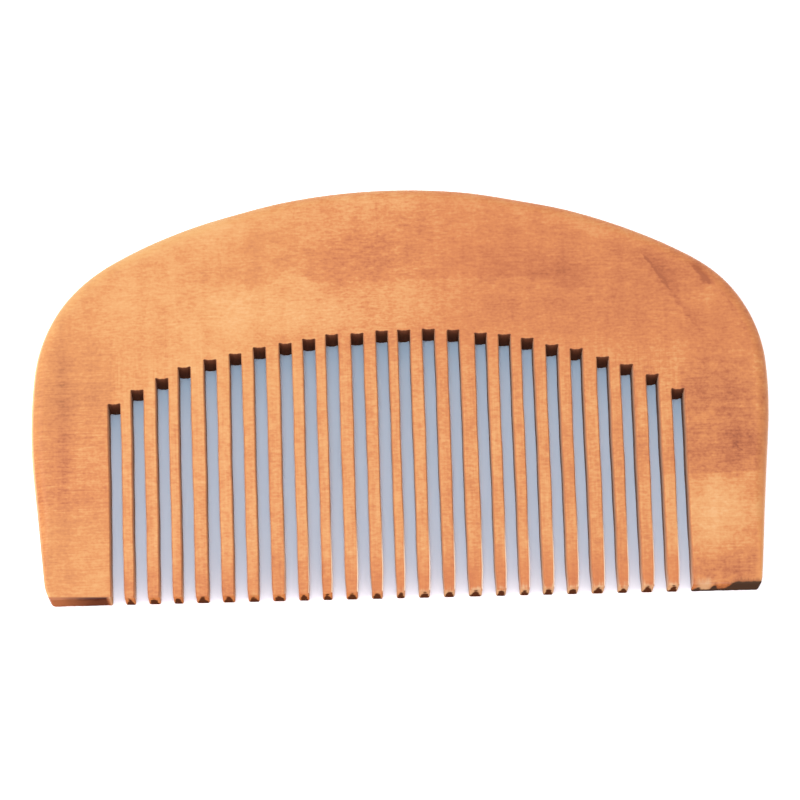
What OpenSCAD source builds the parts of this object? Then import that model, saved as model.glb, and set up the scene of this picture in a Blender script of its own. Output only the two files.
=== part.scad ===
// A one-piece wooden comb: a shaped blank, thin towards the tips, with 24 sawn slots.
// It lies on its flat lower face, with its teeth towards -Y and its back towards +Y.

/* [Outline] */
// Distance from the tip line to the top of the back
comb_h = 70; // [68:0.5:72]
// Sideways place of the highest point of the back
crest_x = -0.4; // [-1:0.1:1]
// Radius of the long curve of the back
back_r = 106.4; // [104:0.2:108]
// Radius of the left shoulder
left_shoulder_r = 25.5; // [24.5:0.1:26.5]
// Radius of the right shoulder
right_shoulder_r = 23.8; // [22.8:0.1:24.8]
// Radius of the flat curve where the left shoulder runs into its side
left_flank_r = 83; // [75:1:90]
// Radius of the flat curve where the right shoulder runs into its side
right_flank_r = 70; // [62:1:78]
// How much lower the right guard ends than the left one
tip_skew = 0.7; // [0:0.1:1.2]

/* [Thickness] */
// Thickness at the tip line
tip_t = 6; // [5.5:0.1:6.5]
// Thickness at the back
back_t = 9.1; // [8.6:0.1:9.6]
// Rounding of the rim along the back and the shoulders
rim_r = 2.2; // [1.6:0.1:2.6]
// Rounding of the edges at the tip line
tip_r = 0.5; // [0.3:0.1:0.8]

/* [Slots] */
// Width of a saw slot above the pared tips
slot_w = 2.1; // [1.9:0.1:2.2]
// How much narrower a slot is at its end
slot_taper = 0.05; // [0:0.05:0.4]
// Centre of the first slot from the left
first_slot_x = -48.3; // [-49:0.1:-48]
// Distance from the top of the back to the deepest slot end
back_w = 25.2; // [24:0.1:27]
// Depth of the two small corners that the saw leaves in a slot end
horn = 0.2; // [0.1:0.1:0.3]
// Length over which a tooth narrows to its tip
point_len = 4.5; // [4:0.5:5.5]
// Part of a tooth's width that is pared off each side just above its tip
pared = 0.08; // [0.04:0.01:0.14]

/* [Hidden] */

// Widths of the narrow teeth from the left, sawn by hand and so uneven
tooth_w = [
    1.8, 2.1, 1.7, 2.3, 2.2, 2.0, 2.3, 1.9, 1.8, 2.2, 2.1, 1.6,
    2.1, 2.1, 2.5, 1.9, 1.8, 2.0, 2.0, 2.3, 1.9, 2.2, 2.1
];
teeth = len(tooth_w);

// Half axes of the ellipse that the slot ends follow, and its place sideways
root_rx = 58;
root_ry = 26;
root_x = -0.9;

top_y = comb_h / 2;
left_end_y = tip_skew - comb_h / 2;
right_end_y = -comb_h / 2;

// Half outlines as rows of [radius, degrees turned], from the crest outwards and down the flank
left_arcs = [[back_r, 26.5], [left_shoulder_r, 56.3], [left_flank_r, 12.3]];
right_arcs = [[back_r, 28.1], [right_shoulder_r, 58], [right_flank_r, 9.3]];
// Foot of each guard: a slow curve inwards, then the small corner at the tip line
left_foot = [6, 25];
right_foot = [6, 12];
corner_r = 0.8;

// An outline point is [x, y, degrees turned from level], for a walk to the right and down
function arc_step(p, r, turned) = [
    p[0] + r * (sin(p[2] + turned) - sin(p[2])),
    p[1] + r * (cos(p[2] + turned) - cos(p[2])),
    p[2] + turned
];
function arc_walk(p, r, turn) =
    let (n = ceil(turn / (r > 60 ? 3 : 7)))
    [for (i = [1:n]) arc_step(p, r, turn * i / n)];
function arcs_walk(p, rows, i = 0) =
    i == len(rows) ? [] :
    let (part = arc_walk(p, rows[i][0], rows[i][1]))
    concat(part, arcs_walk(part[len(part) - 1], rows, i + 1));

// The straight side ends where its foot and corner just reach the tip line at end_y
function half_walk(rows, foot, end_y) =
    let (
        upper = arcs_walk([0, top_y, 0], rows),
        p = upper[len(upper) - 1],
        foot_drop = foot[0] * (cos(p[2]) - cos(p[2] + foot[1])),
        corner_drop = corner_r * (cos(p[2] + foot[1]) + 1),
        straight = (p[1] - end_y - foot_drop - corner_drop) / sin(p[2]),
        q = [p[0] + straight * cos(p[2]), p[1] - straight * sin(p[2]), p[2]],
        low = arc_walk(q, foot[0], foot[1])
    )
    concat(upper, [q], low, arc_walk(low[len(low) - 1], corner_r, 180 - low[len(low) - 1][2]));

right_half = half_walk(right_arcs, right_foot, right_end_y);
left_half = half_walk(left_arcs, left_foot, left_end_y);
left_n = len(left_half);

// The whole outline, clockwise, each row [x, y, inward x, inward y]
outline = concat(
    [[crest_x, top_y, 0, -1]],
    [for (p = right_half) [crest_x + p[0], p[1], -sin(p[2]), -cos(p[2])]],
    [for (i = [left_n - 1:-1:0])
        let (p = left_half[i])
        [crest_x - p[0], p[1], sin(p[2]), -cos(p[2])]]
);

function tip_y(x) = (left_end_y + right_end_y) / 2 - tip_skew * x / 120;
function thickness(y) = tip_t + (back_t - tip_t) * (y + comb_h / 2) / comb_h;
function smooth(s) = let (c = min(1, max(0, s))) c * c * (3 - 2 * c);
// The rim's rounding fades to the small tip rounding over the lowest stretch of each side
rim_fade = 16;
function rounding(y) = tip_r + (rim_r - tip_r) * smooth((y + comb_h / 2 - 1) / rim_fade);

// One ring of the blank: a is 90 on the flat face and 0 at the side wall
function ring(a, upper) = [
    for (p = outline)
        let (
            r = rounding(p[1]),
            x = p[0] + p[2] * r * (1 - cos(a)),
            y = p[1] + p[3] * r * (1 - cos(a)),
            sunk = r * (1 - sin(a))
        )
        [x, y, upper ? thickness(y) - sunk : sunk]
];
angles = [90, 67.5, 45, 22.5, 0];

module blank() {
    rings = concat(
        [for (a = angles) ring(a, false)],
        [for (i = [len(angles) - 1:-1:0]) ring(angles[i], true)]
    );
    n = len(outline);
    m = len(rings);
    walls = [
        for (j = [0:m - 2], i = [0:n - 1], half = [0, 1])
            let (a = j * n + i, b = j * n + (i + 1) % n)
            half == 0 ? [a, b, b + n] : [a, b + n, a + n]
    ];
    polyhedron(
        points = [for (r = rings, p = r) p],
        faces = concat(
            [[for (i = [n - 1:-1:0]) i]],
            walls,
            [[for (i = [0:n - 1]) (m - 1) * n + i]]
        ),
        convexity = 10
    );
}

function sum_to(i) = i == 0 ? 0 : tooth_w[i - 1] + sum_to(i - 1);
function slot_x(k) = first_slot_x + k * slot_w + sum_to(k);
function root_y(x) =
    top_y - back_w - root_ry * (1 - sqrt(1 - pow((x - root_x) / root_rx, 2)));
// Beside a guard the slot's mouth is pared as for a middling tooth
function beside(i) = i < 0 || i >= teeth ? 2 : tooth_w[i];

// One edge of a slot as [distance from its centre, y], from the mouth upwards
function slot_edge(width_beside, tip, root) = [
    [slot_w / 2 + 2 * pared * width_beside, tip - 2],
    [slot_w / 2 + 1.5 * pared * width_beside, tip],
    [slot_w / 2 + pared * width_beside, tip + 0.4],
    [slot_w / 2 + 0.4 * pared * width_beside, tip + point_len / 2],
    [slot_w / 2, tip + point_len],
    [(slot_w - slot_taper) / 2, root + horn],
    [(slot_w - slot_taper) / 2 - 0.6, root]
];

module slot(k) {
    x = slot_x(k);
    left = slot_edge(beside(k - 1), tip_y(x), root_y(x));
    right = slot_edge(beside(k), tip_y(x), root_y(x));
    n = len(left);
    translate([x, 0, -1])
        linear_extrude(height = back_t + 2)
            polygon(concat(
                [for (p = right) p],
                [for (i = [n - 1:-1:0]) [-left[i][0], left[i][1]]]
            ));
}

module comb() {
    color("peru")
        difference() {
            blank();
            for (k = [0:teeth]) slot(k);
        }
}

comb();
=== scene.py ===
import math
import random

import bpy
import numpy as np
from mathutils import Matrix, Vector
from mathutils.geometry import delaunay_2d_cdt


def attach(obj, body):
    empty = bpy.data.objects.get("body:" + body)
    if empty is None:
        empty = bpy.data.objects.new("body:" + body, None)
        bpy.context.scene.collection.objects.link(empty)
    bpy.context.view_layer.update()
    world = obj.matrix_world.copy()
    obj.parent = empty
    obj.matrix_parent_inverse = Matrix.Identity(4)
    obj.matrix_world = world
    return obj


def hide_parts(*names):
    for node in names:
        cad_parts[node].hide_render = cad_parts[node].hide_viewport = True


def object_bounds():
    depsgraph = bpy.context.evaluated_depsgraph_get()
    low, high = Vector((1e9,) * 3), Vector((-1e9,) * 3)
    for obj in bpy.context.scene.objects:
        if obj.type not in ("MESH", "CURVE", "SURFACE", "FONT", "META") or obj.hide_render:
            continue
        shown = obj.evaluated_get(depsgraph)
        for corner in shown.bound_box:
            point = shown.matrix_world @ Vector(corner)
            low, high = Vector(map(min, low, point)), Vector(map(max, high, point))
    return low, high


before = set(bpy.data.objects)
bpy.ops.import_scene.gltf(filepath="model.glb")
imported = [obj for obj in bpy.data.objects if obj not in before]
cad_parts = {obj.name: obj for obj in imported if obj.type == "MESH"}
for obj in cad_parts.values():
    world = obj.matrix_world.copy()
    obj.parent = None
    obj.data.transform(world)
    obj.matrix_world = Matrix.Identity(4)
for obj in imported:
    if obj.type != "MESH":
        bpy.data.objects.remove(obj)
cadLow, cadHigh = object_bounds()
print("frame loaded:", [round(side * 1000, 1) for side in cadHigh - cadLow], "mm")

mm = 0.001
view = bpy.context.scene.view_settings
view.view_transform = "Standard"

# Camera: over the comb, a little to the left and on the side of the teeth
camera = {
    "place": (-12.26, -160.26, 659.2),  # mm
    "turn": (13.65, -1.04, -1.67),  # degrees about x, y and z
    "lens": 178.9,
}


def addCamera():
    data = bpy.data.cameras.new("combCamera")
    data.lens = camera["lens"]
    data.clip_start = 0.05
    data.clip_end = 20
    made = bpy.data.objects.new("combCamera", data)
    made.location = [side * mm for side in camera["place"]]
    made.rotation_mode = "ZYX"
    made.rotation_euler = [math.radians(turn) for turn in camera["turn"]]
    bpy.context.scene.collection.objects.link(made)
    bpy.context.scene.camera = made


addCamera()
print("camera placed")


# One socket of a material, so that shader maths reads as plain arithmetic
class Wire:
    def __init__(self, tree, socket=None):
        self.tree = tree
        self.socket = socket

    # Any node: its type, its settings, which are set first, then its sockets' values or links
    def node(self, kind, settings=None, sockets=None, out=0):
        made = self.tree.nodes.new(kind)
        for name, value in (settings or {}).items():
            if name == "stops":
                setStops(made.color_ramp, value)
            else:
                setattr(made, name, value)
        for name, value in (sockets or {}).items():
            if isinstance(value, Wire):
                self.tree.links.new(value.socket, made.inputs[name])
            else:
                made.inputs[name].default_value = value
        return Wire(self.tree, made.outputs[out])

    def maths(self, operation, first, second=0.0):
        return self.node("ShaderNodeMath", {"operation": operation}, {0: first, 1: second})

    def __add__(self, other):
        return self.maths("ADD", self, other)

    def __radd__(self, other):
        return self.maths("ADD", other, self)

    def __sub__(self, other):
        return self.maths("SUBTRACT", self, other)

    def __rsub__(self, other):
        return self.maths("SUBTRACT", other, self)

    def __mul__(self, other):
        return self.maths("MULTIPLY", self, other)

    def __rmul__(self, other):
        return self.maths("MULTIPLY", other, self)

    def __truediv__(self, other):
        return self.maths("DIVIDE", self, other)

    def __rtruediv__(self, other):
        return self.maths("DIVIDE", other, self)

    def __pow__(self, other):
        return self.maths("POWER", self, other)

    def __rpow__(self, other):
        return self.maths("POWER", other, self)

    def __abs__(self):
        return self.maths("ABSOLUTE", self)

    def most(self, other):
        return self.maths("MAXIMUM", self, other)

    # 0 below the first value and 1 above the second, or the other way round where they fall
    def rise(self, low, high):
        return self.node(
            "ShaderNodeMapRange",
            {"interpolation_type": "SMOOTHSTEP"},
            {"Value": self, "From Min": low, "From Max": high},
        )


def setStops(ramp, stops):
    while len(ramp.elements) < len(stops):
        ramp.elements.new(1.0)
    for element, (place, colour) in zip(ramp.elements, stops):
        element.position = place
        element.color = colour


# A colour as it shows on a screen, made linear and scaled to the light on the comb
def shown(red, green, blue, gain=(1, 1, 1)):
    def linear(level):
        share = level / 255
        return share / 12.92 if share <= 0.04045 else ((share + 0.055) / 1.055) ** 2.4

    return (*[linear(level) * part for level, part in zip((red, green, blue), gain)], 1.0)


def mixed(mask, first, second):
    return mask.node("ShaderNodeMix", {"data_type": "RGBA"}, {0: mask, 6: first, 7: second}, out=2)


# The comb's shape, in mm and degrees, as the solid has it, with the softer edges of worked wood
comb = {
    "crestX": -0.4,
    "leftArcs": ((106.4, 26.5), (25.5, 56.3), (83, 12.3)),  # radius and degrees turned
    "rightArcs": ((106.4, 28.1), (23.8, 58), (70, 9.3)),
    "flats": (  # where the rim is sanded a little flat: x, y, half length, depth
        (-50.5, 22.0, 11, 0.18),
        (-26.5, 30.5, 9, 0.12),
        (21.0, 32.5, 10, 0.2),
        (50.5, 21.0, 8, 0.1),
    ),
    "leftFoot": (6, 25, 0.8),  # the curve's radius and degrees, then the corner's radius
    "rightFoot": (6, 12, 0.45),
    "footStep": 0.6,  # longest steps along the foot's curve and round its corner
    "cornerStep": 0.15,
    "widestTurn": 12,  # degrees that one step turns at most
    "tipSkew": 0.7,
    "tipT": 6.0,
    "backT": 9.1,
    "rimR": 2.2,
    "tipR": 0.5,
    "rimFade": 16,  # height over which the rim's rounding grows from tipR to rimR
    "slotW": 2.1,
    "slotTaper": 0.05,  # how much narrower a slot is at its end
    "firstSlotX": -48.27,
    "backW": 25.15,
    "rootRx": 58,
    "rootRy": 26,
    "rootX": -0.9,
    "horn": 0.15,
    "pointLeft": 1.2,  # length of a tooth's narrowed end, at the left and at the right
    "pointRight": 4.5,
    "paredLeft": 0.035,  # part of a tooth's width that each side loses there
    "paredRight": 0.07,
    "likeLeft": 4,  # the teeth up to this number are pared as at the left
    "blended": 7,  # and over this many more the paring becomes that of the right
    "besideGuard": 2.0,  # a guard is pared like a tooth of this width, and half as much
    "wallWaves": ((0.03, 4.3), (0.02, 1.6)),  # height and pitch of the waves in a slot's wall
    "toothCorner": 0.32,
    "step": 1.3,  # longest step along an edge
    "grid": 1.7,  # pitch of the points inside the faces
    "gridGap": 0.9,  # their least distance from the edge
    "sanded": 0.02,  # depth of the face's slow hollows
    "toothW": (
        1.8, 2.1, 1.7, 2.3, 2.2, 2.0, 2.3, 1.9, 1.8, 2.2, 2.1, 1.6,
        2.1, 2.1, 2.5, 1.9, 1.8, 2.0, 2.0, 2.3, 1.9, 2.2, 2.1,
    ),
    "endShift": (  # how far each slot end stands above its ellipse
        -0.2, -0.1, -0.2, 0.2, 0.0, -0.2, -0.1, -0.3, -0.2, 0.1, -0.1, 0.1,
        0.1, 0.3, 0.3, 0.1, 0.3, 0.2, -0.2, 0.0, -0.1, 0.0, 0.1, -0.1,
    ),
}
teeth = len(comb["toothW"])
topY = cadHigh.y / mm
lowY = cadLow.y / mm
leftEndY = lowY + comb["tipSkew"]
chance = random.Random(7)


def smooth(share):
    held = min(1.0, max(0.0, share))
    return held * held * (3 - 2 * held)


def between(first, second, share):
    return first + (second - first) * share


def tipY(x):
    return (leftEndY + lowY) / 2 - comb["tipSkew"] * x / 120


def faceSlope():
    return (comb["backT"] - comb["tipT"]) / (topY - lowY)


def faceZ(y):
    return comb["tipT"] + faceSlope() * (y - lowY)


def slotX(k):
    return comb["firstSlotX"] + k * comb["slotW"] + sum(comb["toothW"][:k])


def rootY(k):
    across = (slotX(k) - comb["rootX"]) / comb["rootRx"]
    fall = comb["rootRy"] * (1 - math.sqrt(1 - across * across))
    return topY - comb["backW"] - fall + comb["endShift"][k]


# Half the outline from the crest outwards and down, each point [x, y, degrees turned from level]
def halfWalk(arcs, foot, endY):
    walk = [(0.0, topY, 0.0)]

    def turnBy(radius, turn, pitch):
        long = math.radians(turn) * radius
        count = max(2, math.ceil(long / pitch), math.ceil(turn / comb["widestTurn"]))
        for _ in range(count):
            x, y, old = walk[-1]
            new = old + turn / count
            a, b = math.radians(old), math.radians(new)
            x += radius * (math.sin(b) - math.sin(a))
            y += radius * (math.cos(b) - math.cos(a))
            walk.append((x, y, new))

    for radius, turn in arcs:
        turnBy(radius, turn, comb["step"])
    side = math.radians(walk[-1][2])
    low = side + math.radians(foot[1])
    footDrop = foot[0] * (math.cos(side) - math.cos(low))
    cornerDrop = foot[2] * (math.cos(low) + 1)
    straight = (walk[-1][1] - endY - footDrop - cornerDrop) / math.sin(side)
    count = math.ceil(straight / comb["step"])
    x, y, turned = walk[-1]
    for i in range(1, count + 1):
        along = straight * i / count
        walk.append((x + along * math.cos(side), y - along * math.sin(side), turned))
    turnBy(foot[0], foot[1], comb["footStep"])
    turnBy(foot[2], 180 - walk[-1][2], comb["cornerStep"])
    return walk


# How deep the rim is sanded flat at a point
def flatDepth(x, y):
    total = 0.0
    for midX, midY, half, depth in comb["flats"]:
        total += depth * smooth(1 - math.hypot(x - midX, y - midY) / half)
    return total


# Each slot's own small faults: its two walls' waves and its two horns
def slotFaults():
    return [
        {
            "phases": [chance.uniform(0, 6.28) for _ in range(4)],
            "horns": [comb["horn"] * chance.uniform(0.6, 1.4) for _ in range(2)],
        }
        for _ in range(teeth + 1)
    ]


faults = slotFaults()


# Distance of a slot's wall from its centre line; side is -1 at the left and 1 at the right
def wallOff(k, side, y):
    tip = tipY(slotX(k))
    tooth = k if side > 0 else k - 1
    guard = tooth < 0 or tooth >= teeth
    width = comb["besideGuard"] if guard else comb["toothW"][tooth]
    toRight = smooth((tooth - comb["likeLeft"]) / comb["blended"])
    length = between(comb["pointLeft"], comb["pointRight"], toRight)
    above = y - tip
    share = between(comb["paredLeft"], comb["paredRight"], toRight)
    pared = share * width * (1 - smooth(above / length)) * (0.5 if guard else 1)
    phases = faults[k]["phases"][:2] if side < 0 else faults[k]["phases"][2:]
    wave = 0.0
    for (height, pitch), phase in zip(comb["wallWaves"], phases):
        wave += height * math.sin(y / pitch + phase)
    wave *= smooth(above / 6)
    narrower = comb["slotTaper"] / 2 * above / (rootY(k) - tip)
    return comb["slotW"] / 2 + pared + wave - narrower


# Heights of the points on a slot's wall, from just above the tooth's corner up to the root
def wallHeights(k):
    x = slotX(k)
    low = tipY(x) + comb["toothCorner"]
    high = rootY(k)
    heights = [low]
    while heights[-1] < high - 1.2:
        gap = min(comb["step"], 0.3 + 0.2 * (heights[-1] - low))
        heights.append(heights[-1] + gap)
    return [*heights[:-1], high - 0.7, high - 0.12]


# The quarter turn at a tooth's end, from its wall to the tip line; side 1 has the wood at its left
def toothCornerPoints(x, y, side):
    r = comb["toothCorner"]
    steps = [math.radians(a) for a in (22, 45, 68, 90)]
    return [(x - side * r * (1 - math.cos(a)), y + r * (1 - math.sin(a))) for a in steps]


# Half a slot's end, from its wall over the horn to near the middle, as distance and rise
def slotEndHalf(half, horn):
    return [
        (half, horn - 0.1), (half - 0.1, horn), (half - 0.26, horn * 0.8),
        (half - 0.5, 0.06), (half - 0.72, 0.0),
    ]


# The whole edge, clockwise from the crest, as rows of x, y, kind and number of slot or tooth
def combEdge():
    crestX = comb["crestX"]
    rightWalk = halfWalk(comb["rightArcs"], comb["rightFoot"], lowY)
    leftWalk = halfWalk(comb["leftArcs"], comb["leftFoot"], leftEndY)
    right = [(crestX + x, y, turn) for x, y, turn in rightWalk]
    left = [(crestX - x, y, turn) for x, y, turn in leftWalk]

    def rimPoint(x, y, turn, side, number):
        depth = flatDepth(x, y)
        turned = math.radians(turn)
        kind = "rim" if turn < 150 else "guardEnd"
        return (x - side * depth * math.sin(turned), y - depth * math.cos(turned), kind, number)

    edge = [rimPoint(*point, 1, teeth) for point in right]

    def guardEnd(fromX, toX, number):
        count = math.ceil(abs(toX - fromX) / 0.4)
        for i in range(1, count):
            x = between(fromX, toX, i / count)
            edge.append((x, tipY(x) + 0.04 * chance.random(), "guardEnd", number))

    def slot(k):
        x = slotX(k)
        tip = tipY(x)
        root = rootY(k)
        heights = wallHeights(k)
        rightX = x + wallOff(k, 1, heights[0])
        leftX = x - wallOff(k, -1, heights[0])
        if k == teeth:
            guardEnd(edge[-1][0], rightX + comb["toothCorner"], teeth)
        endKind = "guardEnd" if k == teeth else "toothEnd"
        for cornerX, cornerY in reversed(toothCornerPoints(rightX, tip, -1)):
            edge.append((cornerX, cornerY, endKind, k))
        for y in heights:
            edge.append((x + wallOff(k, 1, y), y, "wall", k))
        half = wallOff(k, 1, root)
        rightHorn, leftHorn = faults[k]["horns"]
        rightEnd = slotEndHalf(half, rightHorn)
        leftEnd = [(-off, rise) for off, rise in slotEndHalf(half, leftHorn)]
        for off, rise in [*rightEnd, (0, 0.03), *reversed(leftEnd)]:
            edge.append((x + off, root + rise, "root", k))
        for y in reversed(heights):
            edge.append((x - wallOff(k, -1, y), y, "wall", k))
        endKind = "guardEnd" if k == 0 else "toothEnd"
        for cornerX, cornerY in toothCornerPoints(leftX, tip, 1):
            edge.append((cornerX, cornerY, endKind, k - 1))

    for k in range(teeth, -1, -1):
        slot(k)
    guardEnd(edge[-1][0], left[-1][0], -1)
    edge += [rimPoint(*point, -1, -1) for point in reversed(left[1:])]
    return edge


# How far the edges are rounded or worn, in and down, at the upper face unless it says lower
worn = {
    "wall": (0.28, 0.5),
    "wallAtTip": (0.29, 0.9),
    "wallLowerShare": (0.8, 0.6),  # of what the wall has at the upper face
    "tipStretch": 3.2,  # height over which a wall passes from the one to the other
    "root": (0.1, 0.14),
    "toothMiddle": (0.14, 0.35),
    "toothSide": (0.31, 1.1),
    "toothLower": (0.2, 0.4),
    "toothHalf": 0.7,  # distance from a tooth's middle to where its end has the sides' rounding
    "leftGuard": (0.14, 0.35),
    "rightGuard": (0.14, 0.3),
    "rightTorn": (0.62, 3.6),
    "tornTo": (53.4, 1.8),  # the torn stretch ends from this x, over this length
    "guardLower": (0.15, 0.25),
}


def toothMiddle(number):
    return (slotX(number) + slotX(number + 1)) / 2


# How far the edge is rounded at each point, in and down, for the upper face and for the lower one
def edgeRounding(edge):
    def blend(first, second, share):
        return [between(a, b, share) for a, b in zip(worn[first], worn[second])]

    def rowOf(x, y, kind, number):
        if kind == "rim":
            r = between(comb["tipR"], comb["rimR"], smooth((y - lowY - 1) / comb["rimFade"]))
            return (r, r, r, r)
        if kind == "guardEnd" and x > 0:
            # torn fibres along the inner two thirds of the right guard's end, crisp beyond
            guardX = slotX(teeth) + comb["slotW"] / 2
            tornEnd, fade = worn["tornTo"]
            torn = (1 - smooth((x - tornEnd) / fade)) * smooth((x - guardX - 0.5) / 1.2)
            ragged = chance.uniform(0.55, 1.2)
            upper = [between(a, b * ragged, torn) for a, b in zip(worn["rightGuard"], worn["rightTorn"])]
            return (*upper, *worn["guardLower"])
        if kind == "guardEnd":
            inset, drop = worn["leftGuard"]
            return (inset * chance.uniform(0.6, 1.7), drop, *worn["guardLower"])
        if kind == "wall":
            upper = blend("wall", "wallAtTip", 1 - smooth((y - tipY(x)) / worn["tipStretch"]))
            return (*upper, *[far * share for far, share in zip(upper, worn["wallLowerShare"])])
        if kind == "root":
            return (*worn["root"], *worn["root"])
        middle = toothMiddle(number) if 0 <= number < teeth else x
        out = min(1.0, abs(x - middle) / worn["toothHalf"])
        return (*blend("toothMiddle", "toothSide", out * out), *worn["toothLower"])

    rows = np.array([rowOf(*point) for point in edge])
    for _ in range(2):
        rows = (np.roll(rows, 1, 0) + 2 * rows + np.roll(rows, -1, 0)) / 4
    return rows


# Slow hollows that sanding by hand leaves in the upper face, at any points
def sandedHollows(points):
    x, y = points[:, 0], points[:, 1]
    waves = np.sin(x / 5.1 + 0.7 * np.sin(y / 6.3)) + 0.7 * np.sin(y / 4.4 + 0.5 * np.sin(x / 7.7))
    return comb["sanded"] * waves


def insidePoints(ring):
    xs = np.arange(cadLow.x / mm + 1, cadHigh.x / mm, comb["grid"])
    ys = np.arange(lowY + 1, topY, comb["grid"])
    grid = np.array([(x + 0.5 * comb["grid"] * (j % 2), y) for j, y in enumerate(ys) for x in xs])
    inside = np.zeros(len(grid), bool)
    nearest = np.full(len(grid), 1e9)
    for (ax, ay), (bx, by) in zip(ring, np.roll(ring, -1, 0)):
        crosses = (ay > grid[:, 1]) != (by > grid[:, 1])
        if crosses.any():
            crossX = (bx - ax) * (grid[:, 1] - ay) / (by - ay + 1e-12) + ax
            inside ^= crosses & (grid[:, 0] < crossX)
        nearest = np.minimum(nearest, np.hypot(grid[:, 0] - ax, grid[:, 1] - ay))
    return grid[inside & (nearest > comb["gridGap"])]


# Triangles over one face: the ring's points first, then the points inside it
def fillFace(ring, inner):
    points = [tuple(map(float, p)) for p in [*ring, *inner]]
    count = len(ring)
    edges = [(i, (i + 1) % count) for i in range(count)]
    made = delaunay_2d_cdt(points, edges, [], 1, 1e-6)
    if len(made[0]) != len(points):
        print("face points changed:", len(points), "to", len(made[0]))
    source = [row[0] for row in made[3]]
    return [tuple(source[i] for i in face) for face in made[2]]


# Where a point of a tooth's end lies, from -1 at its left side to 1 at its right one
def toothAcross(x, y, kind, number):
    if kind != "toothEnd" or not 0 <= number < teeth:
        return 0.0
    return 2 * (x - toothMiddle(number)) / comb["toothW"][number]


# Rings of points from the lower face round the edge to the upper one, their normals, and how much
# each ring belongs to the side wall, from 0 to 1
def edgeRings(edge, lowerNormal, upperNormal):
    place = np.array([(x, y) for x, y, _, _ in edge])
    along = np.roll(place, -1, 0) - np.roll(place, 1, 0)
    along /= np.linalg.norm(along, axis=1)[:, None]
    inward = np.stack([along[:, 1], -along[:, 0]], 1)
    rounding = edgeRounding(edge).T
    angles = [math.radians(a) for a in (90, 66, 44, 22, 0)]
    rings, normals, near = [], [], []
    for upper in (False, True):
        inset, drop = rounding[:2] if upper else rounding[2:]
        face = upperNormal if upper else lowerNormal
        for a in reversed(angles) if upper else angles:
            flat = place + inward * (inset * (1 - math.cos(a)))[:, None]
            z = drop * (1 - math.sin(a))
            if upper:
                z = faceZ(flat[:, 1]) - z + sandedHollows(flat) * math.sin(a) ** 2
            turned = -inward * (math.cos(a) / inset)[:, None]
            turned = np.concatenate([turned, np.zeros((len(edge), 1))], 1)
            turned = turned + face * (math.sin(a) / drop)[:, None]
            rings.append(np.concatenate([flat, z[:, None]], 1))
            normals.append(turned / np.linalg.norm(turned, axis=1)[:, None])
            near.append(math.cos(a))
    return rings, normals, near


def addMark(mesh, name, values):
    layer = mesh.attributes.new(name, "FLOAT", "POINT")
    layer.data.foreach_set("value", np.array(values, np.float32))


# Marks for the finish: sawn slot walls, slot ends, the cut ends of teeth and guards, and distances
def markWood(mesh, edge, points, near):
    count = len(edge)
    kinds = [kind for _, _, kind, _ in edge]
    marks = {
        "sawn": [kind in ("wall", "root") for kind in kinds],
        "slotEnd": [kind == "root" for kind in kinds],
        "cutEnd": [kind in ("toothEnd", "guardEnd") for kind in kinds],
        "rim": [kind == "rim" for kind in kinds],
        # walls on the teeth's right sides, which get painted light near the tips
        "litSide": [kind == "wall" and x < slotX(number) for x, _, kind, number in edge],
    }
    for name, flags in marks.items():
        values = np.zeros(len(points))
        for j, share in enumerate(near):
            values[j * count:(j + 1) * count] = np.array(flags, float) * share
        addMark(mesh, name, values)

    across = np.zeros(len(points))
    across[:len(near) * count] = np.tile([toothAcross(*row) for row in edge], len(near))
    addMark(mesh, "across", across)

    # How far each point lies from the outer rim, in mm
    rim = np.array([(x, y) for x, y, kind, _ in edge if kind == "rim"])
    parts = np.array_split(points, 200)
    away = [np.hypot(*(part[:, None, :2] - rim).T).min(0) for part in parts]
    addMark(mesh, "fromRim", np.concatenate(away))


def buildComb():
    edge = combEdge()
    count = len(edge)
    slope = faceSlope()
    lowerNormal = np.array([0, 0, -1.0])
    upperNormal = np.array([0, -slope, 1]) / math.hypot(slope, 1)
    rings, normals, near = edgeRings(edge, lowerNormal, upperNormal)
    layers = len(rings)
    points = list(np.concatenate(rings))
    turned = list(np.concatenate(normals))
    faces = []
    for j in range(layers - 1):
        for i in range(count):
            a = j * count + i
            b = j * count + (i + 1) % count
            faces.append((a, a + count, b + count, b))

    # The two flat faces, each inside its own ring
    for upper in (False, True):
        ring = rings[-1 if upper else 0][:, :2]
        inner = insidePoints(ring)
        first = (layers - 1) * count if upper else 0
        added = len(points)
        for (x, y), hollow in zip(inner, sandedHollows(inner)):
            points.append(np.array([x, y, faceZ(y) + hollow if upper else 0.0]))
            turned.append(upperNormal if upper else lowerNormal)
        for triangle in fillFace(ring, inner):
            spots = [first + i if i < count else added + i - count for i in triangle]
            faces.append(spots if upper else spots[::-1])

    # Seat it in the solid's own box
    points = np.array(points)
    low, high = points.min(0), points.max(0)
    boxLow, boxHigh = np.array(cadLow) / mm, np.array(cadHigh) / mm
    points = boxLow + (points - low) * (boxHigh - boxLow) / (high - low)

    mesh = bpy.data.meshes.new("combWood")
    mesh.from_pydata([tuple(p * mm) for p in points], [], [tuple(f) for f in faces])
    mesh.validate()
    mesh.shade_smooth()
    mesh.normals_split_custom_set_from_vertices([tuple(n) for n in turned])
    markWood(mesh, edge, points, near)
    made = bpy.data.objects.new("combWood", mesh)
    bpy.context.scene.collection.objects.link(made)
    print("comb built:", len(mesh.vertices), "points,", len(mesh.polygons), "faces")
    return made


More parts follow.
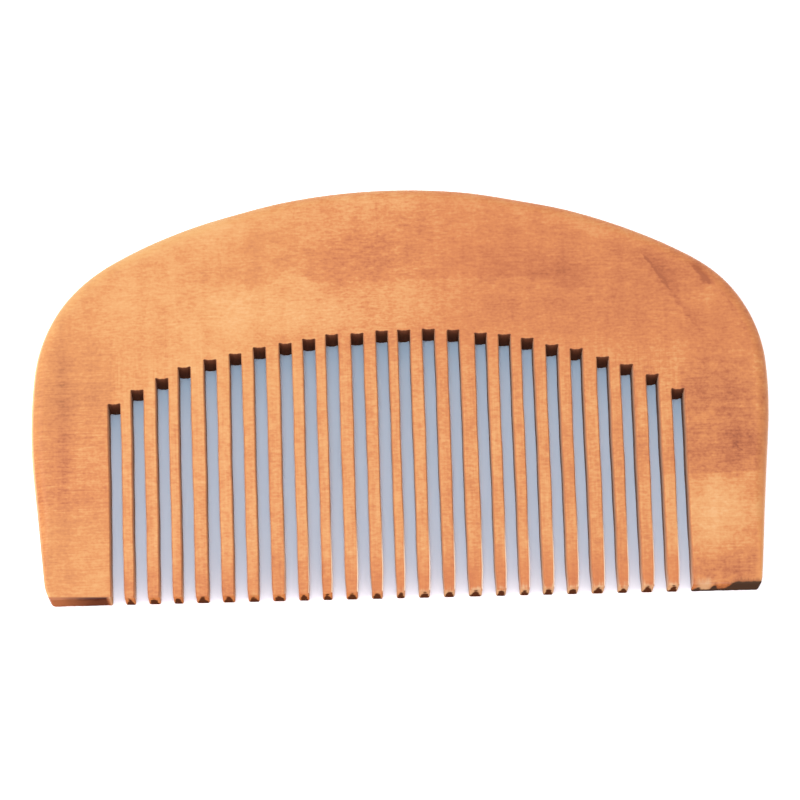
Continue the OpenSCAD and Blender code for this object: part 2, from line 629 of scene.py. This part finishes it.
# The finish of the worked faces, in the colours that show under this light
wood = {
    "gain": (0.4, 0.358, 0.308),  # share of a shown colour that the wood itself has
    "tones": (  # from pale to dark
        (0.0, (252, 196, 142)),
        (0.2, (246, 182, 124)),
        (0.38, (239, 167, 110)),
        (0.5, (232, 151, 96)),
        (0.62, (221, 141, 92)),
        (0.74, (208, 127, 84)),
        (0.86, (194, 114, 76)),
        (1.0, (170, 95, 64)),
    ),
    "plainTone": 0.46,
    "darkerRight": 0.08,
    "palerTeeth": 0.1,
    # painted highlight on the broad rounding of the back
    "backHighlight": 0.17,
    "sawnTone": 0.22,
    "bandTone": 0.15,
    "stepTone": 0.06,
    "tipTone": 0.16,
    "roughness": 0.5,
    "roughnessSpread": 0.12,
    "specular": 0.12,
    "reliefStrength": 0.35,
    "reliefHeight": 0.00005,  # m
}

# Colours painted over the tone, as they show under this light
paints = {
    "flame": (228, 134, 82),
    "ruddy": (224, 134, 84),
    "sunny": (246, 184, 116),
    # painted highlight on the upper rounding at the upper left
    "rimHighlight": (255, 214, 150),
    "orange": (246, 168, 106),
    "maroon": (86, 40, 33),
    "toothEnd": (100, 57, 38),
    "charcoal": (86, 65, 55),
    "scorched": (150, 84, 56),
    "guardBrown": (200, 126, 88),
    "fuzz": (250, 212, 172),
}

# Colours of the wood itself, where the light is not that of the open face, and colours of painted light,
# not scaled to the light on the face
rawPaints = {
    # painted highlight along the very edge of the upper rounding
    "edgeHighlightCream": (192, 162, 112),
    # painted light on the teeth's right side walls near their tips
    "litWall": (250, 224, 196),
    "rawWood": (158, 108, 78),
    # painted light that makes the slot walls paler deeper down
    "paintedDeepLight": (178, 146, 128),
    "slotEnd": (106, 64, 46),
}

# Layers of noise: sizes in mm, shift, detail, roughness and bend, then how much each changes the
# tone everywhere, and how much more on the teeth, the left guard and the right guard
grains = {
    "clouds": ((9, 7, 9), 11.7, 2.0, 0.5, 0.0, (0.2, 0, 0, 0)),
    "blotches": ((3.2, 2.0, 3), 5.3, 3.0, 0.5, 0.0, (0.3, 0, 0, 0)),
    "flecks": ((1.25, 0.35, 1.5), 2.2, 2.0, 0.6, 0.3, (0.66, 0, -0.22, -0.26)),
    "lines": ((4.5, 0.3, 4), 4.9, 2.0, 0.6, 0.4, (0.24, 0, 0.34, 0.16)),
    "spots": ((1.1, 0.9, 1), 12.1, 2.0, 0.5, 0.0, (0.1, 0, 0, 0.3)),
    "threads": ((0.42, 9, 2.0), 8.4, 2.0, 0.6, 0.0, (0.06, 0.34, 0, 0)),
    "bands": ((2.2, 40, 6.0), 1.4, 1.0, 0.5, 0.0, (0.25, 0, 0, 0)),
    "speckle": ((0.5, 0.45, 0.5), 6.6, 1.0, 0.5, 0.0, (0.4, 0, 0, 0)),
    "wobble": ((2.6, 1.8, 3), 3.1, 3.0, 0.5, 0.0, None),
    "drift": ((4.2, 3.0, 4), 3.1, 1.0, 0.5, 0.0, None),
    "fine": ((0.9, 0.9, 0.9), 7.7, 2.0, 0.5, 0.0, None),
    "jag": ((1.5, 6, 4), 4.4, 4.0, 0.7, 0.0, None),
    "fibres": ((1.5, 0.5, 1.5), 9.1, 3.0, 0.5, 0.0, None),
}

# Darker marks: middle x and y, half length and half width, degrees turned, softness, depth
darkMarks = (
    (45.6, 18.9, 4.8, 1.9, -60, 0.9, 0.15),
    (38.8, 23.3, 4.8, 2.0, -25, 0.9, 0.10),
    (52.3, 17.5, 1.5, 0.7, -50, 0.7, 0.28),
    (27.8, 19.8, 4.8, 2.4, -12, 0.9, 0.16),
    (31.0, 16.5, 8.5, 6.0, 0, 0.9, 0.09),
    (30.1, 25.6, 2.4, 1.5, 0, 0.9, 0.10),
    (37.8, 16.5, 7.5, 1.3, 88, 0.9, 0.06),
    (3.0, 28.2, 3.0, 0.4, -3, 0.8, 0.10),
    (15.3, 14.9, 1.6, 1.1, 0, 0.9, 0.08),
    (-55.5, 9.5, 7.0, 3.2, 75, 0.9, 0.08),
    (-56.5, 1.0, 6.0, 3.0, 86, 0.9, 0.05),
    (-57.5, -8.0, 12.0, 3.6, 87, 0.9, 0.09),
    (-52.5, 1.0, 10.0, 5.0, 87, 0.9, 0.05),
    (54.0, -3.5, 7.5, 4.6, 0, 0.9, 0.14),
    (50.5, 2.0, 9.0, 6.0, 60, 0.9, 0.07),
    (22.0, 13.5, 8.0, 3.0, 0, 0.9, 0.06),
    (-34.5, 19.0, 5.5, 3.2, 88, 0.9, 0.06),
    (-8.0, 22.5, 8.5, 3.6, 0, 0.9, 0.07),
    (57.2, -10.6, 4.4, 2.6, 8, 0.9, 0.14),
    (54.2, -32.6, 6.0, 1.6, 0, 0.9, 0.12),
    (53.0, -31.0, 6.0, 3.0, 0, 0.9, 0.12),
)

# Paler marks, in the same way
paleMarks = (
    (-21.0, 13.8, 11.0, 4.6, 0, 0.8, 0.12),
    (-3.0, 13.5, 15.0, 3.4, 0, 0.8, 0.08),
    (-30.0, 20.5, 9.0, 5.0, 0, 0.9, 0.1),
    (-28.5, 12.5, 9.0, 5.0, 0, 0.9, 0.11),
    (19.0, 26.5, 8.0, 3.6, 0, 0.9, 0.05),
    (-45.5, 16.0, 12.0, 6.0, 30, 0.9, 0.13),
    (-53.0, -11.0, 8.0, 2.0, 80, 0.9, 0.10),
    (-54.0, -25.0, 8.0, 2.4, 88, 0.9, 0.09),
    (51.8, 14.2, 3.2, 2.0, 0, 0.8, 0.16),
    (22.7, 25.6, 2.4, 1.3, 88, 0.8, 0.07),
    (24.0, 12.6, 3.6, 1.6, 0, 0.8, 0.06),
    (48.5, 5.0, 3.2, 2.0, 10, 0.9, 0.07),
    (54.7, -21.5, 7.5, 4.6, 0, 0.8, 0.20),
    (54.2, -27.0, 6.0, 2.4, 0, 0.8, 0.12),
)

# Broad even washes: middle x and y, half length and half width, depth, less than 0 where paler
washes = (
    (-24.0, 28.0, 14.0, 5.0, -0.12),
    (-28.0, 21.0, 8.0, 4.0, 0.06),
    (18.0, 28.5, 10.0, 5.0, -0.06),
    (-4.0, 28.5, 12.0, 5.0, -0.07),
    (-56.0, 2.0, 8.0, 9.0, 0.08),
    (-14.0, 17.0, 21.0, 7.0, -0.09),
    (-33.0, 10.0, 8.0, 7.0, -0.08),
    (49.5, -23.0, 7.0, 8.0, -0.19),
    (47.0, 17.0, 10.0, 7.0, 0.09),
    (-56.0, -19.0, 6.0, 12.0, 0.12),
    (-59.0, 3.0, 5.0, 9.0, 0.06),
    (58.5, -6.0, 4.0, 7.0, 0.08),
)

# Dark seams: from x and y to x and y, width on the sharp side and on the soft one, depth
seams = (
    (41.2, 23.3, 46.2, 15.6, 0.25, 3.6, 0.18),
    (41.6, 22.7, 47.0, 14.9, 0.2, 0.4, 0.22),
    (46.0, 15.9, 51.2, 8.3, 0.4, 1.4, 0.16),
    (49.8, 20.4, 53.5, 16.2, 0.3, 1.8, 0.32),
    (55.0, 15.6, 59.4, 7.6, 0.5, 0.6, 0.10),
    (53.3, 17.0, 57.5, 12.0, 0.15, 0.3, 0.07),
    (-37.5, 24.9, -37.5, 16.2, 0.12, 0.16, 0.07),
    (-29.9, 23.4, -29.9, 20.4, 0.12, 0.16, 0.16),
    (-17.1, 33.5, -17.1, 24.0, 0.12, 0.16, 0.08),
    (-3.1, 34.0, -3.1, 25.0, 0.12, 0.16, 0.07),
    (-48.6, 21.2, -50.4, 14.7, 0.15, 0.2, 0.07),
    (-41.7, 19.3, -43.9, 9.4, 0.15, 0.2, 0.08),
    (-39.4, 12.8, -39.4, 5.0, 0.12, 0.16, 0.08),
    (56.0, -11.0, 57.6, -12.6, 0.2, 0.2, 0.16),
)


def woodMaterial():
    material = bpy.data.materials.new("peachWood")
    material.use_nodes = True
    tree = material.node_tree
    worked = tree.nodes["Principled BSDF"]
    start = Wire(tree)
    metres = start.node("ShaderNodeTexCoord", out="Object")
    spot = metres.node("ShaderNodeVectorMath", {"operation": "SCALE"}, {0: metres, "Scale": 1 / mm})
    split = spot.node("ShaderNodeSeparateXYZ", None, {0: spot})
    outputs = split.socket.node.outputs
    x, y, z = [Wire(tree, outputs[axis]) for axis in "XYZ"]

    # Noise stretched to the given sizes, from about -0.5 to 0.5
    def grain(sizes, shift, detail, rough, bend):
        stretched = spot.node(
            "ShaderNodeVectorMath",
            {"operation": "MULTIPLY_ADD"},
            {0: spot, 1: [1 / size for size in sizes], 2: (shift, shift * 0.7, shift * 0.3)},
        )
        made = spot.node(
            "ShaderNodeTexNoise",
            None,
            {"Vector": stretched, "Scale": 1.0, "Detail": detail, "Roughness": rough, "Distortion": bend},
        )
        return made - 0.5

    def mark(row, waver):
        midX, midY, long, wide, turn, soft, depth = row
        c, s = math.cos(math.radians(turn)), math.sin(math.radians(turn))
        u = (x * c + y * s - (midX * c + midY * s)) / long
        v = (y * c - x * s - (midY * c - midX * s)) / wide
        away = (u * u + v * v) ** 0.5 + waver
        return away.rise(1 + soft * 0.6, 1 - soft) * depth

    # Its soft side lies to the left of the way along it
    def seam(row, waver):
        fromX, fromY, toX, toY, sharp, soft, depth = row
        length = math.hypot(toX - fromX, toY - fromY)
        c, s = (toX - fromX) / length, (toY - fromY) / length
        along = (x * c + y * s - (fromX * c + fromY * s)) / length
        aside = y * c - x * s - (fromY * c - fromX * s) + waver
        ends = along.rise(-0.05, 0.2) * along.rise(1.05, 0.8)
        return aside.rise(-sharp, 0) * aside.rise(soft, 0) * ends * depth

    def read(name):
        return start.node("ShaderNodeAttribute", {"attribute_name": name}, out="Fac")

    def paint(base, mask, name):
        return mixed(mask, base, shown(*paints[name], wood["gain"]))

    def paintRaw(base, mask, name):
        return mixed(mask, base, shown(*rawPaints[name]))

    noise = {name: grain(*row[:5]) for name, row in grains.items()}
    wobble, drift, fine, fibres = [noise[name] for name in ("wobble", "drift", "fine", "fibres")]
    flecks, threads, speckle = [noise[name] for name in ("flecks", "threads", "speckle")]
    sawnMark, slotEnd, cutEnd, rim, litSide, across, fromRim = [
        read(name) for name in ("sawn", "slotEnd", "cutEnd", "rim", "litSide", "across", "fromRim")
    ]

    # Where the teeth and the two guards are, and how deep a spot lies under the upper face
    belowBack = y.rise(9, 4)
    onTeeth = belowBack * x.rise(-49, -48.2) * x.rise(47.8, 47)
    onGuards = belowBack - onTeeth
    leftGuard = onGuards * x.rise(0, -1)
    rightGuard = onGuards * x.rise(0, 1)
    down = comb["tipT"] + (y - lowY) * faceSlope() - z

    # Tone, from pale at 0 to dark at 1
    tone = wood["plainTone"] + x.rise(-40, 45) * wood["darkerRight"] - onTeeth * wood["palerTeeth"]
    for name, (*_, change) in grains.items():
        if change:
            amount = change[0]
            for mask, more in zip((onTeeth, leftGuard, rightGuard), change[1:]):
                if more:
                    amount = amount + mask * more
            tone = tone + noise[name] * amount
    tone = tone - flecks * x.rise(4, 28) * 0.1
    tone = tone + x.rise(12, 16) * y.rise(4, 9) * 0.03
    for row in darkMarks:
        tone = tone + mark(row, drift * 1.1)
    for row in paleMarks:
        tone = tone - mark(row, drift * 1.3)
    for *row, depth in washes:
        tone = tone + mark((*row, 0, 0.9, depth), 0.0)
    for row in seams:
        tone = tone + seam(row, fine)

    # Dark band across the right guard, sharp below and fading into the last teeth
    bandEdge = (y + wobble * 0.6).rise(-16.2, -15.7)
    tone = tone + bandEdge * y.rise(-6.0, -12.0) * x.rise(33, 50) * wood["bandTone"]

    # Redder flame along the back, with a jagged lower edge and a hump in it
    hump = abs(x + 17.7).rise(3.6, 0.6) * 2.6
    flameEdge = (y - 18.7 + noise["jag"] * 1.6 - hump).rise(-0.2, 0.25)
    flameLeft = x.rise(-38, -37) * 0.4 + x.rise(-32, -28) * 0.6
    flame = (y.rise(30, 25) * 0.5 + 0.5) * flameEdge * flameLeft * x.rise(36, 16)
    step = x.rise(13.6, 14.2) * y.rise(17.5, 18.5) * x.rise(30, 20)
    tone = tone + flame * (noise["blotches"] * 0.1 + 0.12) + step * wood["stepTone"]

    # The teeth redden towards their tips, and a painted highlight makes the broad rounding of the back
    # paler
    tips = (y + x * 0.0067).rise(-26.0, -34.0) * onTeeth
    tone = tone + tips * wood["tipTone"]
    tone = tone - fromRim.rise(5.5, 1.0) * y.rise(20, 27) * wood["backHighlight"]
    tone = tone + sawnMark.rise(0.05, 0.5) * wood["sawnTone"]

    stops = [(place, shown(*colour, wood["gain"])) for place, colour in wood["tones"]]
    colour = tone.node("ShaderNodeValToRGB", {"stops": stops}, {0: tone})
    colour = paint(colour, flame * 0.1 + tips * (x.rise(-24, 6) * 0.3 + 0.15), "flame")
    colour = paint(colour, x.rise(-2, 12) * y.rise(-2, 8) * 0.26, "ruddy")
    sunny = x.rise(-8, -24) * y.rise(-14, 4) + x.rise(-46, -52) * y.rise(-16, -24)
    colour = paint(colour, sunny * 0.2, "sunny")

    # Painted highlights on the upper rounding: a thin one at its very edge, and broader ones at the upper
    # left
    onTop = down.rise(3.4, 1.5)
    upperLeft = x.rise(-8, -40) * y.rise(-20, 10)
    # painted highlight where the upper left rounding faces the light
    colour = paint(colour, rim.rise(0.1, 1.0) * upperLeft * onTop * 0.3, "rimHighlight")
    broadRimHighlight = (fromRim + wobble * 3.0).rise(3.6, 0.6) * x.rise(-26, -34) * y.rise(9, 15)
    colour = paint(colour, broadRimHighlight * onTop * 0.26, "rimHighlight")
    rightStrip = (fromRim + fine * 0.6).rise(1.5, 0.7) * x.rise(40, 50) * y.rise(-4, -14)
    colour = paint(colour, rightStrip * 0.55, "orange")
    # painted highlight along the very edge, stronger at the lower left
    edgeHighlight = fromRim.rise(0.5, 0.15) * (x.rise(-40, -52) * y.rise(-24, -8) * 0.6 + 0.25)
    colour = paintRaw(colour, edgeHighlight * onTop, "edgeHighlightCream")

    # Raw sawn wood on the walls, made paler away from the upper face by painted light, and dark at the
    # slots' ends
    deep = (down + fibres * 2.0).rise(0.3, 3.0)
    wallWoodAndLight = paintRaw(shown(*rawPaints["rawWood"]), deep, "paintedDeepLight")
    sawn = (sawnMark + fibres * 0.25).rise(0.45, 0.85)
    colour = mixed(sawn, colour, wallWoodAndLight)
    colour = paintRaw(colour, slotEnd.rise(0.15, 0.7), "slotEnd")

    # Each tooth's cut end is dark at its foot, with pale torn fibres above it towards the right,
    # where a tooth's right side wall is made pale near its tip by painted light
    onTooth = x.rise(-48.6, -48.2) * x.rise(47.0, 46.5)
    climb = y + comb["tipSkew"] * x / 120 - (leftEndY + lowY) / 2 + z * 0.19
    fuzz = (climb + fibres * 1.6 + threads * 2.4).rise(2.0, 0.8) * x.rise(-12, 8)
    colour = paint(colour, fuzz * onTooth * 0.7, "fuzz")
    # painted light on the right side walls of the teeth near their tips
    litWall = litSide.rise(0.2, 0.7) * y.rise(-20, -31) * x.rise(-27, -8)
    colour = paintRaw(colour, litWall * down.rise(2.2, 0.8) * 0.7, "litWall")
    cut = (z / 5.2 + (across / 0.8) ** 2.0 + fibres * 1.4).rise(1.15, 0.85)
    colour = paint(colour, cut * cutEnd.rise(0.5, 0.8) * onTooth, "toothEnd")

    # The left guard's end is brown, darker towards the teeth, with a pale corner beside them
    leftEnd = x.rise(-48.4, -49) * (climb + (x + 60) * 0.025 + fibres * 0.12).rise(1.85, 1.55)
    colour = paint(colour, leftEnd, "guardBrown")
    leftDark = (x + fibres * 3.0).rise(-59.6, -51.6) * (x + fibres * 0.8).rise(-49.7, -50.3)
    leftDark = leftDark * ((climb + fibres * 0.8).rise(0.9, 1.3) * 0.2 + 0.8)
    colour = paint(colour, leftEnd * leftDark, "maroon")
    colour = paint(colour, leftEnd * x.rise(-49.9, -49.5) * 0.5, "fuzz")

    # The right guard's end is charred up to this height, scorched above it, and torn beside the teeth
    height = 0.36 + abs(x - 49.0).rise(0.8, 0.0) * 0.3 + abs(x - 51.7).rise(0.8, 0.1) * 0.5
    height = height + x.rise(53.2, 55.2) * 1.15 + fine * 0.5
    charred = (climb - height).rise(0.16, -0.14) * x.rise(47.2, 47.6)
    scorched = (climb - height + threads * 1.6).rise(0.8, 0.0) * x.rise(50.2, 51.2)
    torn = abs(x - 50.0).rise(1.9, 0.3) * (climb + threads * 2.0).rise(2.7, 0.9)
    colour = paint(colour, scorched * 0.6, "scorched")
    colour = paint(colour, torn * x.rise(47.4, 47.8) * 0.7, "fuzz")
    colour = paint(colour, charred, "charcoal")

    raw = sawn.most(cutEnd.rise(0.4, 0.8)).most(charred)
    rough = wood["roughness"] + flecks * wood["roughnessSpread"]
    relief = flecks * 0.6 + threads * 0.4 + speckle * 0.35 + raw * fibres * 3.0
    bump = relief.node(
        "ShaderNodeBump",
        None,
        {"Strength": wood["reliefStrength"], "Distance": wood["reliefHeight"], "Height": relief},
    )
    for name, wire in (("Base Color", colour), ("Roughness", rough), ("Normal", bump)):
        tree.links.new(wire.socket, worked.inputs[name])
    worked.inputs["Specular IOR Level"].default_value = wood["specular"]

    # Sawn and cut wood has no sheen
    sawnShader = colour.node(
        "ShaderNodeBsdfPrincipled",
        None,
        {"Base Color": colour, "Roughness": 0.9, "Specular IOR Level": 0.0, "Normal": bump},
    )
    workedShader = Wire(tree, worked.outputs[0])
    both = raw.node("ShaderNodeMixShader", None, {0: raw, 1: workedShader, 2: sawnShader})
    tree.links.new(both.socket, tree.nodes["Material Output"].inputs["Surface"])
    print("wood finish made:", len(tree.nodes), "nodes")
    return material


combWood = buildComb()
combWood.data.materials.append(woodMaterial())
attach(combWood, "root")
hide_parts("comb")

# The floor is a plain pale sheet just under the comb, and bright enough to show white
floor = {
    "size": 3.0,  # m
    "gap": 0.00015,
    "colour": (0.98, 0.855, 0.845, 1.0),
}


def addFloor():
    bpy.ops.mesh.primitive_plane_add(size=floor["size"], location=(0, 0, cadLow.z - floor["gap"]))
    made = bpy.context.active_object
    made.name = "floorSheet"
    material = bpy.data.materials.new("palePaper")
    material.use_nodes = True
    shader = material.node_tree.nodes["Principled BSDF"]
    shader.inputs["Base Color"].default_value = floor["colour"]
    shader.inputs["Roughness"].default_value = 0.9
    made.data.materials.append(material)


# Soft boxes: name, place and aim in mm, width and height in m, watts, colour
lights = (
    ("leftBox", (-560, -40, 800), (0, 0, 0), 0.35, 0.35, 9.4, (1.0, 0.97, 0.94)),
    ("overheadBox", (-30, -120, 1000), (0, 0, 0), 0.12, 0.5, 4.2, (0.26, 0.66, 1.0)),
    ("frontBox", (0, -900, 160), (0, 0, 0), 0.7, 0.16, 1.2, (1.0, 0.9, 0.78)),
)
sky = {"colour": (0.93, 0.95, 0.96, 1.0), "strength": 1.68}


def addLights():
    for name, place, aim, width, height, watts, colour in lights:
        data = bpy.data.lights.new(name, "AREA")
        data.shape = "RECTANGLE"
        data.size = width
        data.size_y = height
        data.energy = watts
        data.color = colour
        made = bpy.data.objects.new(name, data)
        made.location = [side * mm for side in place]
        toAim = [(b - a) * mm for a, b in zip(place, aim)]
        made.rotation_mode = "QUATERNION"
        made.rotation_quaternion = Vector(toAim).to_track_quat("-Z", "Y")
        bpy.context.scene.collection.objects.link(made)
    world = bpy.data.worlds.new("studioSky")
    world.use_nodes = True
    shader = world.node_tree.nodes["Background"]
    shader.inputs["Color"].default_value = sky["colour"]
    shader.inputs["Strength"].default_value = sky["strength"]
    bpy.context.scene.world = world


addFloor()
addLights()
print("floor and light placed")
